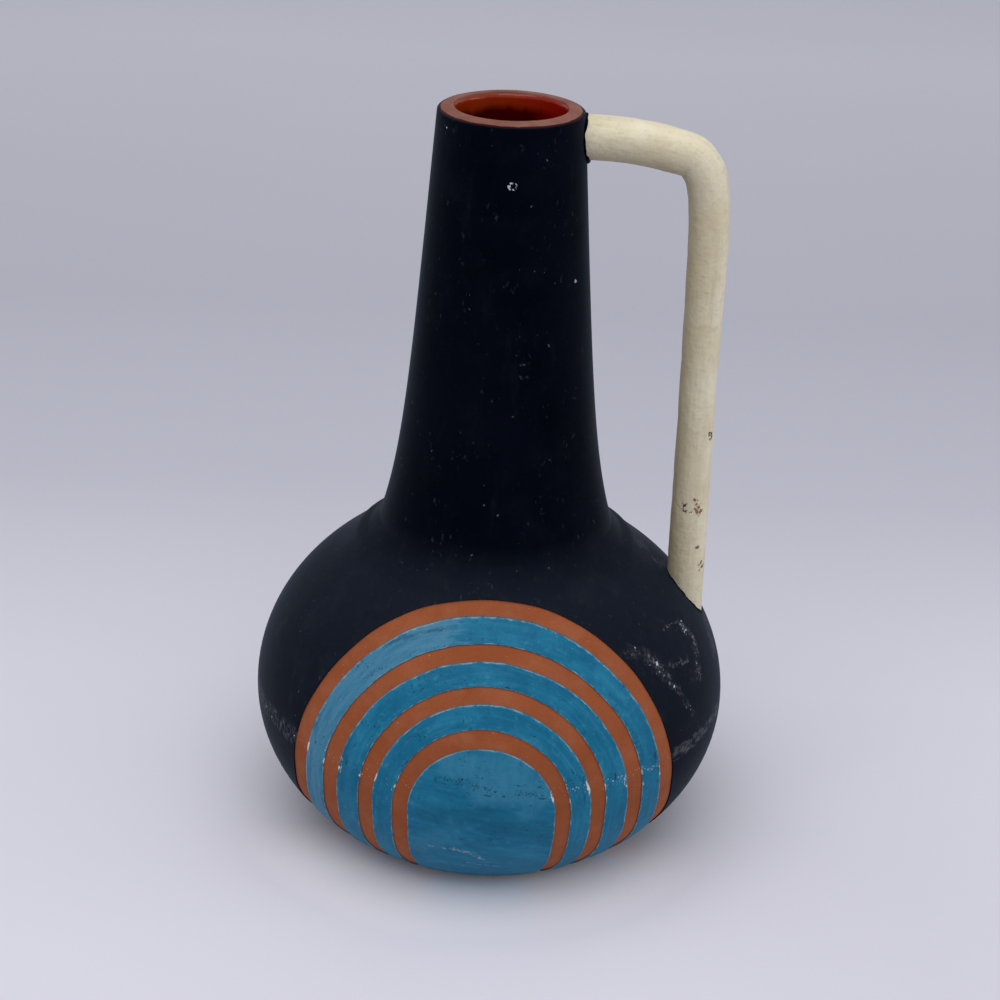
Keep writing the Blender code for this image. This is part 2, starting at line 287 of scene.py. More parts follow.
def new_finish(name):
    """A new material, its shader and the places on the piece that wears it."""
    material = bpy.data.materials.new(name)
    material.use_nodes = True
    tree = material.node_tree
    return material, tree.nodes["Principled BSDF"], add_node(tree, "ShaderNodeTexCoord", out="Object")


def stretch(place, x, y, z):
    """Places with each direction made finer or coarser, for strokes and streaks."""
    return add_node(tree_of(place), "ShaderNodeMapping", {"Vector": place, "Scale": (x, y, z)})


def tint(share, under, over):
    """One colour laid over another by a share."""
    under, over = (colour if isinstance(colour, Wire) else (*colour, 1.0) for colour in (under, over))
    return add_node(tree_of(share), "ShaderNodeMix", {0: share, 6: under, 7: over}, 2, data_type="RGBA")


def lay_over(colour, *layers):
    """Layers over a colour, each as strong as a value's way between two limits makes it."""
    for value, low, high, strength, shade in layers:
        colour = tint(between(value, low, high, 0.0, strength), colour, shade)
    return colour


def dress(shader, colour, roughness, shine, height, depth):
    """Wires a finish up: colour, roughness, shine and a fine relief that is depth metres deep."""
    bump = add_node(shader.id_data, "ShaderNodeBump", {"Height": height, "Distance": depth, "Strength": 1.0})
    fill(shader, {"Base Color": colour, "Roughness": roughness, "Specular IOR Level": shine, "Normal": bump})


def near_level(place, level, width):
    """Closeness to a level ring, from 1 on it to 0 a width above or below."""
    return between(work_out("ABSOLUTE", parts(place)[2] - level), width, 0.0)


def clay_finish(name, deep, warm, dust, dusty):
    """Bare fired clay: broad changes of colour, fine grain, faint wheel rings, dust and painted contact shade
    at the foot's edge.
    """
    material, shader, place = new_finish(name)
    fine = grain(place, 2600.0, 2.0)
    rings = grain(stretch(place, 6.0, 6.0, 700.0), 1.0, 2.0)
    rubbed = grain(place, 1500.0, 2.0, 0.6, 9.0) + near_level(place, RUBBED_LEVEL, RUBBED_WIDTH) * 0.10
    colour = lay_over(
        tint(between(grain(place, 45.0, 4.0), 0.3, 0.7), deep, warm),
        (fine, 0.45, 0.75, 0.3, [0.6 * part for part in deep]),
        (grain(place, 130.0, 6.0, 0.65, 3.0), 0.45, 0.8, dusty, dust),
        (grain(place, 900.0, 1.0, 0.5, 7.0), 0.74, 0.79, 0.6, dust),
        (rubbed, 0.73, 0.78, 0.85, (0.58, 0.50, 0.44)),
    )
    # Painted contact shade: the outermost millimetre of the foot's edge, next to the floor, is darkened
    # nearly to black.
    from_middle = work_out_way("DISTANCE", place, (0.0, 0.0, FOOT_EDGE))
    painted_foot_shade = between(near_level(place, FOOT_EDGE, FOOT_SHADE_REACH), 0.0, 0.6)
    painted_foot_shade = painted_foot_shade * between(from_middle, FOOT_RADIUS - 0.0012, FOOT_RADIUS - 0.0004, 0.0, 0.95)
    colour = tint(painted_foot_shade, colour, (0.012, 0.013, 0.018))
    roughness = between(fine, 0.2, 0.8, 0.72, 0.92)
    dress(shader, colour, roughness, 0.15, fine * 0.35 + rings * 0.65, CLAY_RELIEF)
    return material


bare_clay = clay_finish("bare_clay", (0.248, 0.061, 0.018), (0.312, 0.085, 0.031), (0.48, 0.26, 0.17), 0.16)

globe_outline = inside_outline(0.0, 40)
globe_outline.append((MOUTH_RADIUS, CREASE_Z))
for z in globe_heights(CLAY_SWELL, CREASE_Z, FOOT_EDGE, 90):
    globe_outline.append((globe_radius(z, CLAY_SWELL), z))
foot = globe_radius(FOOT_EDGE, CLAY_SWELL)
ring_inside = FOOT_RADIUS - FOOT_RING
globe_outline += [(foot - 0.35 * FOOT_EDGE, 0.3 * FOOT_EDGE), (foot - FOOT_EDGE, 0.0)]
globe_outline += [(ring_inside, 0.0), (ring_inside - FOOT_HOLLOW, FOOT_HOLLOW), (0.0, FOOT_HOLLOW)]
globe = turned_piece("globe_clay", globe_outline, bare_clay)
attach(globe, "root")
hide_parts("globe")


# Neck: a tapering spout of the same clay, thrown by itself and set on the globe's mouth.
# It flares a little at the foot, and its bare lip is wiped so that it falls away outwards.
neck_low, neck_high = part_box("neck")
RIM_Z = neck_high.z
NECK_FOOT_RADIUS = 0.0388
RIM_RADIUS = 0.0215
NECK_WALL = 0.0043
NECK_FLARE = 0.0071
FLARE_REACH = 0.0220
LIP_CROWN = 0.0008
LIP_SHOULDER = 0.0008
LIP_FULLNESS = 2.2
LIP_INSIDE_EDGE = 0.00012
LIP_INSIDE_DROP = 0.0004


def neck_radius(z):
    """A straight taper to the rim, with a flare that dies away above the crease."""
    climb = (z - CREASE_Z) / (RIM_Z - CREASE_Z)
    taper = (NECK_FOOT_RADIUS - NECK_FLARE) * (1 - climb) + RIM_RADIUS * climb
    return taper + NECK_FLARE * math.exp((CREASE_Z - z) / FLARE_REACH)


lip_clay = clay_finish("lip_clay", (0.172, 0.062, 0.041), (0.226, 0.089, 0.066), (0.31, 0.19, 0.16), 0.45)
lip_outer = neck_radius(RIM_Z) + CLAY_SWELL
lip_inner = neck_radius(RIM_Z) - NECK_WALL
lip_top = RIM_Z + LIP_CROWN


def lip_curve(start, end):
    """The wiped lip from its inner edge at 90 to its outer side at 0, highest inside."""
    points = []
    for step in steps(20):
        turn = math.radians(start + (end - start) * step)
        across = math.cos(turn) ** (2 / LIP_FULLNESS)
        rise = math.sin(turn) ** (2 / LIP_FULLNESS)
        points.append((lip_inner + (lip_outer - lip_inner) * across,
                       RIM_Z - LIP_SHOULDER + (LIP_CROWN + LIP_SHOULDER) * rise))
    return points


neck_outline = []
for step in steps(30):
    z = neck_low.z + (lip_top - LIP_INSIDE_DROP - neck_low.z) * step
    neck_outline.append((neck_radius(z) - NECK_WALL, z))
neck_outline.append((lip_inner + LIP_INSIDE_EDGE, lip_top - LIP_INSIDE_EDGE))
neck_outline += lip_curve(86, 0)
for step in steps(60)[1:]:
    z = RIM_Z - LIP_SHOULDER + (neck_low.z - RIM_Z + LIP_SHOULDER) * step
    neck_outline.append((neck_radius(z) + CLAY_SWELL, z))
neck = turned_piece(
    "neck_clay", neck_outline, lip_clay, True,
    swing=0.0003, scale=1.3, low=RIM_Z - 0.004, high=RIM_Z, seed=4.0,
)
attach(neck, "root")
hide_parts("neck")


# Glaze lining: a brown lead-type glaze poured in and drained, so that the porous clay holds water.
# It is glossy and amber near the lip, with painted shade that turns it nearly black further down.
GLAZE_FACE = 0.0006
GLAZE_BACK = -0.0001
GLAZE_BELOW_LIP = 0.0006
GLAZE_EDGE = 0.0016
GLAZE_RELIEF = 0.0006
GLAZE_SHADE_START = 0.0030
GLAZE_SHADE_FULL = 0.0054
GLAZE_RUNS = 0.005


def glaze_finish():
    """Brown glaze that ran down while it was wet, redder on the handle's side, with painted shade deeper down
    that is lighter on that side.
    """
    material, shader, place = new_finish("honey_glaze")
    across, _, height = parts(place)
    runs = grain(stretch(place, 260.0, 260.0, 18.0), 1.0, 3.0)
    mottle = grain(place, 160.0, 4.0, 0.55, 2.0)
    # Painted shade: the glaze darkens nearly to black with depth below the lip, with a ragged edge from the
    # runs.
    painted_depth_shade = between(height + (runs - 0.5) * GLAZE_RUNS, RIM_Z - GLAZE_SHADE_START, RIM_Z - GLAZE_SHADE_FULL)
    colour = tint(between(across, -0.006, 0.014), (0.270, 0.026, 0.0030), (0.250, 0.005, 0.0014))
    colour = lay_over(colour, (mottle, 0.4, 0.75, 0.5, (0.190, 0.010, 0.0015)))
    # The painted shade is lighter on the handle's side, as painted light on that inside wall.
    deep = tint(between(across, 0.006, 0.0125), (0.055, 0.0008, 0.0004), (0.190, 0.0020, 0.0010))
    roughness = between(mottle, 0.3, 0.7, 0.07, 0.16)
    dress(shader, tint(painted_depth_shade, colour, deep), roughness, 0.32, runs * 0.8 + mottle * 0.2, GLAZE_RELIEF)
    return material


def lining_outline(inset, top):
    """The vessel's inside from the middle of the floor up to the lip, set in by the glaze."""
    outline = inside_outline(inset, 36)
    start = outline[-1][1]
    for step in steps(40)[1:]:
        z = start + (top - start) * step
        outline.append((neck_radius(max(z, CREASE_Z)) - NECK_WALL - inset, z))
    return outline


glaze_top = lip_top - GLAZE_BELOW_LIP
glaze_outline = lining_outline(GLAZE_FACE, glaze_top - GLAZE_EDGE)
for share, drop in ((0.7, 0.0009), (0.35, 0.0003)):
    glaze_outline.append((lip_inner - share * GLAZE_FACE, glaze_top - drop))
glaze_outline += lining_outline(GLAZE_BACK, glaze_top)[::-1]
lining = turned_piece(
    "glaze_lining_coat", glaze_outline, glaze_finish(),
    swing=0.0010, scale=4.0, low=glaze_top - 0.006, high=glaze_top, seed=9.0,
)
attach(lining, "root")
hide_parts("glaze_lining")


# Black slip: fine clay stained black and brushed over neck and globe, which fires matt.
# The panel of arches was kept clear of it, so its edge stands proud of the bare clay there.
COAT_FACE = 0.00075
COAT_BACK = 0.0002
COAT_ABOVE_FLOOR = 0.0018
COAT_RELIEF = 0.00010
CREASE_FILL = 0.0010
CREASE_REACH = 0.012
PANEL_HALF_WIDTH = 0.0594
PANEL_RISE = 0.0583
PANEL_WAVER = 0.00012
CLEARING_FRONT = 0.16
CLEARING_SPREAD = 1.5
CLEARING_UNDER_FOOT = 0.02
ARCH_SPRING_Z = 0.0400
ARCH_SIDESTEP = -0.0009
LEGS_MEET_UNDER_FLOOR = 0.0040
LEG_FULLNESS = 3.0


def body_radius(z, swell):
    """The whole outside, with slip filling the crease where neck and globe meet."""
    if z < CREASE_Z - CREASE_REACH:
        return globe_radius(z, swell)
    spout = neck_radius(z) + swell
    bowl = globe_radius(z, swell)
    blend = max(0.0, 1 - abs(spout - bowl) / (4 * CREASE_FILL))
    return max(spout, bowl) + CREASE_FILL * blend * blend


def arch_outline(half_width, rise, tremble):
    """The panel's edge in the front view, with the small waver of a hand-held brush."""
    points = []
    for step in steps(160):
        turn = math.pi * step
        points.append((half_width * math.cos(turn), rise * math.sin(turn)))
    leg = []
    for step in steps(40)[1:]:
        share = ARCH_SPRING_Z * step / (ARCH_SPRING_Z + LEGS_MEET_UNDER_FLOOR)
        leg.append((half_width * (1 - share**LEG_FULLNESS) ** (1 / LEG_FULLNESS), -ARCH_SPRING_Z * step))
    points = leg[::-1] + points + [(-x, z) for x, z in leg]
    wavered = []
    for i, (x, z) in enumerate(points):
        waver = math.sin(0.07 * i) + 0.6 * math.sin(0.17 * i + 1.0) + 0.3 * math.sin(0.41 * i + 2.0)
        rise = max(z, 0.0)
        share = tremble * waver / math.hypot(x, rise)
        wavered.append((x * (1 + share) + ARCH_SIDESTEP, z + rise * share + ARCH_SPRING_Z))
    return wavered


def held(share):
    """A share kept from 0 to 1."""
    return add_node(tree_of(share), "ShaderNodeClamp", {"Value": share})


def on_body(turn, z):
    """The place on the slip's face at so many degrees round from the panel towards the handle."""
    turn = math.radians(turn)
    radius = body_radius(z, COAT_FACE)
    return Vector((radius * math.sin(turn), -radius * math.cos(turn), z))


def near_line(place, start, end, width):
    """Closeness to the line between two places on the body, from 1 on it to 0 a width away."""
    start = on_body(*start)
    way = on_body(*end) - start
    gone = work_out_way("SUBTRACT", place, start)
    share = held(work_out_way("DOT_PRODUCT", gone, way / way.length_squared))
    nearest = work_out_way("SCALE", way, share)
    return between(work_out_way("DISTANCE", gone, nearest), width, 0.0)


# Wear lies at places of degrees and height. A scratch has two, its width, how grey and how bare it is.
SCRATCHES = (
    ((41, 0.0845), (47.5, 0.0826), 0.0010, 0.3, 0.90),
    ((41.5, 0.0833), (48.5, 0.0797), 0.0015, 0.5, 0.10),
    ((48.5, 0.0801), (53, 0.0717), 0.0030, 1.0, 0.55),
    ((53, 0.0717), (58.5, 0.0588), 0.0014, 0.6, 0.70),
    ((54.5, 0.0757), (64, 0.0731), 0.0012, 0.7, 0.10),
    ((60.5, 0.0853), (70, 0.0813), 0.0008, 0.9, 0.50),
    ((70, 0.0813), (71, 0.0749), 0.0024, 0.7, 0.65),
    ((71, 0.0749), (66, 0.0665), 0.0020, 0.6, 0.45),
    ((89.5, 0.0733), (82, 0.0657), 0.0034, 0.5, 0.0),
    ((97, 0.0945), (88.5, 0.0931), 0.0009, 0.7, 0.10),
    ((88.5, 0.0931), (86, 0.0888), 0.0012, 0.7, 0.10),
    ((91, 0.0905), (92, 0.0849), 0.0040, 0.6, 0.0),
    ((92.5, 0.0976), (95, 0.0959), 0.0040, 0.5, 0.0),
    ((12.5, 0.1690), (16.5, 0.1685), 0.0010, 0.8, 0.40),
    ((13.5, 0.1655), (16.5, 0.1655), 0.0012, 0.8, 0.40),
)
# A chip is a ring with its centre, its radius, which is 0 for a plain spot, and its width.
CHIPS = (
    ((3, 0.2230), 0.0010, 0.0007),
    ((56, 0.1921), 0.0, 0.0011),
    ((27.5, 0.1967), 0.0, 0.0008),
    ((-23, 0.1894), 0.0, 0.0007),
    ((-56.5, 0.2367), 0.0, 0.0005),
)


def slip_finish():
    """Matt black slip with brush sweep, dust on the globe, a rubbed ring, scratches and small chips."""
    material, shader, place = new_finish("black_slip")
    across, behind, height = parts(place)
    cloud = grain(place, 38.0, 4.0, 0.55)
    fine = grain(place, 1500.0, 3.0)
    flecks = grain(place, 820.0, 2.0, 0.55, 13.0)
    sweep = grain(stretch(place, 90.0, 90.0, 420.0), 1.0, 3.0, 0.6, 5.0)
    colour = tint(between(cloud, 0.35, 0.7), (0.0003, 0.0008, 0.0036), (0.0012, 0.0026, 0.0064))
    # Dust lies on the globe up to the crease, with a film and smears that are fainter on the neck.
    settled = between(height + cloud * 0.012, CREASE_Z + 0.018, CREASE_Z + 0.003)
    colour = tint(settled * between(height, 0.045, 0.095, 0.09, 0.17), colour, (0.042, 0.055, 0.080))
    lying = 0.3 + settled * 0.7
    film = between(grain(place, 75.0, 7.0, 0.62, 11.0), 0.50, 0.85, 0.0, 0.20)
    colour = tint(film * lying, colour, (0.040, 0.046, 0.058))
    smears = grain(stretch(place, 300.0, 300.0, 45.0), 1.0, 5.0, 0.6, 23.0)
    colour = tint(between(smears, 0.58, 0.80, 0.0, 0.22) * lying, colour, (0.045, 0.050, 0.058))
    colour = lay_over(colour, (grain(place, 620.0, 1.0, 0.5, 17.0), 0.745, 0.79, 0.35, (0.16, 0.17, 0.18)))
    scuffs = grain(stretch(place, 640.0, 640.0, 330.0), 1.0, 2.0, 0.55, 51.0)
    scuffed = between(grain(place, 75.0, 2.0, 0.5, 53.0), 0.47, 0.60)
    colour = tint(between(scuffs, 0.63, 0.72, 0.0, 0.15) * scuffed, colour, (0.100, 0.120, 0.140))
    # The coat thins to brown where it turns over the lip.
    turned_over = height + cloud * 0.0010
    colour = lay_over(colour, (turned_over, RIM_Z + 0.0001, RIM_Z + 0.0008, 0.6, (0.070, 0.026, 0.024)))
    # The rubbed ring is hatched on the left, smeared on the right and fainter behind.
    right = between(across, -0.02, 0.02)
    ring = between(near_level(place, RUBBED_LEVEL, RUBBED_WIDTH), right * 0.25, 1.0)
    patchy = between(grain(place, 55.0, 2.0, 0.5, 31.0), 0.38, 0.54)
    ring = ring * (patchy * between(behind, 0.0, 0.05, 1.0, 0.3))
    hatch = between(grain(stretch(place, 1300.0, 1300.0, 420.0), 1.0, 3.0, 0.6, 41.0), 0.47, 0.66)
    drawn = between(grain(stretch(place, 330.0, 330.0, 620.0), 1.0, 5.0, 0.65, 43.0), 0.44, 0.62) - hatch
    rubbed = between(ring, 0.05, 0.45) * ((hatch + drawn * right) * 0.85)
    colour = tint(rubbed, colour, (0.095, 0.098, 0.115))
    # Scratches run in shaken, broken lines: a grey smudge with flecks through to the pale clay.
    worn = ring * 0.15
    broken = between(grain(place, 330.0, 2.0, 0.5, 37.0), 0.36, 0.52)
    dabs = between(grain(place, 900.0, 3.0, 0.65, 47.0), 0.49, 0.62)
    smudge = (0.08 + dabs * 0.70) * broken
    shake = add_node(material.node_tree, "ShaderNodeTexNoise", {
        "Vector": place, "Scale": 230.0, "Detail": 3.0,
    }, "Color")
    shake = work_out_way("SUBTRACT", shake, (0.5, 0.5, 0.5))
    shaken = work_out_way("ADD", place, work_out_way("SCALE", shake, 0.007))
    for start, end, width, grey, bareness in SCRATCHES:
        close = near_line(shaken, start, end, width)
        colour = tint(between(close, 0.0, 0.6) * grey * smudge, colour, (0.150, 0.154, 0.166))
        worn = work_out("MAXIMUM", worn, close * broken * (1.3 * bareness))
    for centre, hollow, width in CHIPS:
        away = work_out("ABSOLUTE", work_out_way("DISTANCE", place, on_body(*centre)) - hollow)
        worn = work_out("MAXIMUM", worn, between(away, width, 0.3 * width))
    bare = between(flecks + worn * 0.18, 0.70, 0.74) * between(worn, 0.02, 0.15)
    colour = tint(bare * 0.9, colour, (0.50, 0.51, 0.51))
    roughness = between(cloud, 0.3, 0.7, 0.50, 0.66)
    dress(shader, colour, roughness, 0.012, sweep * 0.7 + fine * 0.3 - bare, COAT_RELIEF)
    fill(shader, {"Sheen Weight": 0.085, "Sheen Roughness": 0.35, "Sheen Tint": (0.60, 0.78, 1.0, 1.0)})
    return material


black_slip = slip_finish()
coat_top = RIM_Z - LIP_SHOULDER
coat_outline = []
for step in steps(36):
    z = COAT_ABOVE_FLOOR + (coat_top - COAT_ABOVE_FLOOR) * step
    coat_outline.append((body_radius(z, COAT_BACK), z))
wrap = lip_curve(32, 0)
for i, (radius, z) in enumerate(wrap):
    proud = (COAT_FACE - CLAY_SWELL) * (i / (len(wrap) - 1)) ** 0.7
    coat_outline.append((radius + proud, z + 0.4 * proud))
above_crease = CREASE_Z + 0.010
below_crease = CREASE_Z - 0.008
coat_heights = [coat_top - (coat_top - above_crease) * step for step in steps(80)[1:]]
coat_heights += [above_crease - (above_crease - below_crease) * step for step in steps(30)[1:]]
coat_heights += globe_heights(COAT_FACE, below_crease, COAT_ABOVE_FLOOR + 0.0005, 84)[1:]
coat_outline += [(body_radius(z, COAT_FACE), z) for z in coat_heights]
black_coat = turned_piece(
    "black_slip_brushed", coat_outline, black_slip, True,
    swing=0.0005, scale=6.0, low=coat_top - 0.003, high=RIM_Z, seed=6.0,
)


def cut_away(piece, cutter, crisp):
    """Takes the cutter's room out of a piece, then clears the cutter away."""
    cutting = piece.modifiers.new("cutting", "BOOLEAN")
    cutting.operation = "DIFFERENCE"
    cutting.solver = "EXACT"
    cutting.object = cutter
    depsgraph = bpy.context.evaluated_depsgraph_get()
    mesh = bpy.data.meshes.new_from_object(piece.evaluated_get(depsgraph))
    piece.modifiers.remove(cutting)
    bpy.data.objects.remove(cutter)
    piece.data = mesh
    mesh.name = piece.name
    mesh.set_sharp_from_angle(angle=math.radians(crisp))


middle = Vector((0.0, 0.0, WIDEST_Z))
corners = [middle, middle + Vector((0.0, -CLEARING_FRONT, 0.0))]
for x, z in arch_outline(PANEL_HALF_WIDTH, PANEL_RISE, PANEL_WAVER):
    y = -math.sqrt(globe_radius(z, CLAY_SWELL) ** 2 - x * x)
    on_clay = Vector((x, y, z - CLEARING_UNDER_FOOT if z < 0.0005 else z))
    corners.append(middle + CLEARING_SPREAD * (on_clay - middle))
sides = []
for i in range(2, len(corners)):
    j = i + 1 if i + 1 < len(corners) else 2
    sides += [(0, j, i), (1, i, j)]
panel_mesh = bpy.data.meshes.new("panel_clearing")
panel_mesh.from_pydata(corners, [], sides)
cut_away(black_coat, put_in_scene("panel_clearing", panel_mesh), 35)
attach(black_coat, "root")
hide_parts("black_slip_coat")
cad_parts["neck_lute"].material_slots[0].material = black_slip


# Blue enamel: three arched bands and the field inside them, brushed on thickly over bare clay.
# Each stands a hair proud, with rounded edges that have worn pale and strokes along the arch.
BAND_EDGE_ROUND = 0.00045
BAND_WAVER = 0.00022
BAND_WELD = 0.00001
BAND_RELIEF = 0.00016
BAND_EDGES = {
    "outer": ((0.0496, 0.0491), (0.0557, 0.0551)),
    "middle": ((0.0381, 0.0394), (0.0453, 0.0454)),
    "inner": ((0.0273, 0.0282), (0.0338, 0.0351)),
    "centre": ((0.0, 0.0), (0.0228, 0.0230)),
}


def marked(shape, label, value, kind="FLOAT"):
    """Geometry that carries a value at each point under a name."""
    return add_node(tree_of(shape), "GeometryNodeStoreNamedAttribute", {
        "Geometry": shape, "Name": label, "Value": value,
    }, data_type=kind, domain="POINT")


band, given = shaping_tree(
    "brushed_band", ["Along", "Across"],
    ["Inner Width", "Inner Rise", "Outer Width", "Outer Rise", "Leg Share", "Leg", "Waver", "Seed", "Field"],
)
sheet = add_node(band, "GeometryNodeMeshGrid", {
    "Size X": 1.0, "Size Y": 1.0, "Vertices X": given["Along"], "Vertices Y": given["Across"],
}, "Mesh")
back = marked(sheet, "lift", 0.0)
face = add_node(band, "GeometryNodeFlipFaces", {"Mesh": marked(sheet, "lift", 1.0)})
both = band.nodes.new("GeometryNodeJoinGeometry")
for side in (back, face):
    band.links.new(side.socket, both.inputs[0])
flat_x, flat_y, _ = parts(add_node(band, "GeometryNodeInputPosition"))
# Along runs up one leg, over the arch and down the other, and across from inner to outer edge.
along = flat_x + 0.5
across = 0.5 - 0.5 * work_out("COSINE", (flat_y + 0.5) * math.pi)
right_leg = 1.0 - along / given["Leg Share"]
left_leg = 1.0 - (1.0 - along) / given["Leg Share"]
down = work_out("MAXIMUM", 0.0, work_out("MAXIMUM", right_leg, left_leg))
drop = down * given["Leg"]
turn = math.pi * held((along - given["Leg Share"]) / (1.0 - 2.0 * given["Leg Share"]))
band_width = given["Outer Width"] - given["Inner Width"]
width = given["Inner Width"] + across * band_width
rise = given["Inner Rise"] + across * (given["Outer Rise"] - given["Inner Rise"])
draw_in = work_out("POWER", drop / (ARCH_SPRING_Z + LEGS_MEET_UNDER_FLOOR), LEG_FULLNESS)
draw_in = work_out("POWER", 1.0 - draw_in, 1 / LEG_FULLNESS)
x = width * work_out("COSINE", turn) * draw_in + ARCH_SIDESTEP
z = ARCH_SPRING_Z + rise * work_out("SINE", turn) - drop
# The brush wavers a little, less and less down the legs.
flat_spot = together(x, z)
waver_x = 0.0
waver_z = 0.0
for scale, share in ((70.0, 1.6), (420.0, 0.7)):
    hand_x, hand_z, _ = parts(grain(flat_spot, scale, 1.0, seed=given["Seed"], out="Color"))
    reach = given["Waver"] * (2.0 * share)
    waver_x = waver_x + (hand_x - 0.5) * reach
    waver_z = waver_z + (hand_z - 0.5) * reach
x = x + waver_x
z = z + waver_z * (1.0 - down)
# The enamel is full thickness inside its edges and rounds off to the clay at them.
to_outer = (1.0 - across) * band_width
to_inner = across * band_width + given["Field"]
to_foot = (1.0 - down) * given["Leg"]
to_edge = work_out("MINIMUM", work_out("MINIMUM", to_outer, to_inner), to_foot)
curl = 1.0 - held(to_edge / BAND_EDGE_ROUND)
full = work_out("SQRT", work_out("MAXIMUM", 0.0, 1.0 - curl * curl))
lift = add_node(band, "GeometryNodeInputNamedAttribute", {"Name": "lift"}, "Attribute", data_type="FLOAT")
swell = COAT_BACK + lift * full * (COAT_FACE - COAT_BACK)
# It lies on the globe's two half ellipses, swollen by that thickness.
above = work_out("GREATER_THAN", z, WIDEST_Z)
half_height = BOWL_DEPTH + above * (SHOULDER_RISE - BOWL_DEPTH) + swell
half_width = GLOBE_RADIUS + swell
near = work_out("MAXIMUM", 0.0, 1.0 - (CREASE_Z - z) / SHOULDER_FILL_REACH)
filled = SHOULDER_FILL * (near * near)
tall = (z - filled - WIDEST_Z) / half_height
wide = x / half_width
left = 1.0 - tall * tall - wide * wide
y = half_width * -1.0 * work_out("SQRT", work_out("MAXIMUM", left, 0.0))
whole_way = given["Outer Width"] * math.pi + 2 * ARCH_SPRING_Z
stroke = together(along * whole_way, across * band_width, to_edge)
laid = marked(Wire(both.outputs[0]), "stroke", stroke, "FLOAT_VECTOR")
laid = add_node(band, "GeometryNodeSetPosition", {"Geometry": laid, "Position": together(x, y, z)})
end_tree(given, add_node(band, "GeometryNodeMergeByDistance", {"Geometry": laid, "Distance": BAND_WELD}))


STROKE_END = ((-32.5, 0.0849), (-27, 0.0883), (-20, 0.0908), (-11.5, 0.0925))
STROKE_END_WIDTH = 0.0011
DEEP_STROKES = (
    ((-13.5, 0.0401), (-5, 0.0396), 0.0055, 0.4),
    ((0, 0.0402), (15.5, 0.0333), 0.0070, 0.4),
)
WASHES = (
    ((-8, 0.0575), (8, 0.0568), 0.0062, 0.9),
    ((0, 0.0500), (12.5, 0.0499), 0.0075, 1.0),
    ((10, 0.0420), (11.5, 0.0450), 0.0045, 0.6),
    ((-18, 0.0234), (-10.5, 0.0298), 0.0060, 0.5),
    ((-7.5, 0.0376), (-6.5, 0.0283), 0.0030, 0.35),
)
TORN_PLACES = (
    ((-11, 0.0525), (-5.5, 0.0528), 0.0018),
    ((-5.5, 0.0528), (1, 0.0504), 0.0015),
    ((-5, 0.0464), (-2.5, 0.0508), 0.0013),
    ((8, 0.0493), (13, 0.0478), 0.0020),
)
SCRAPES = (
    ((-13, 0.0249), (-7, 0.0251), 0.0011),
    ((-7, 0.0251), (-3, 0.0236), 0.0014),
    ((-3, 0.0236), (0.5, 0.0205), 0.0014),
    ((-5, 0.0175), (5, 0.0156), 0.0007),
)


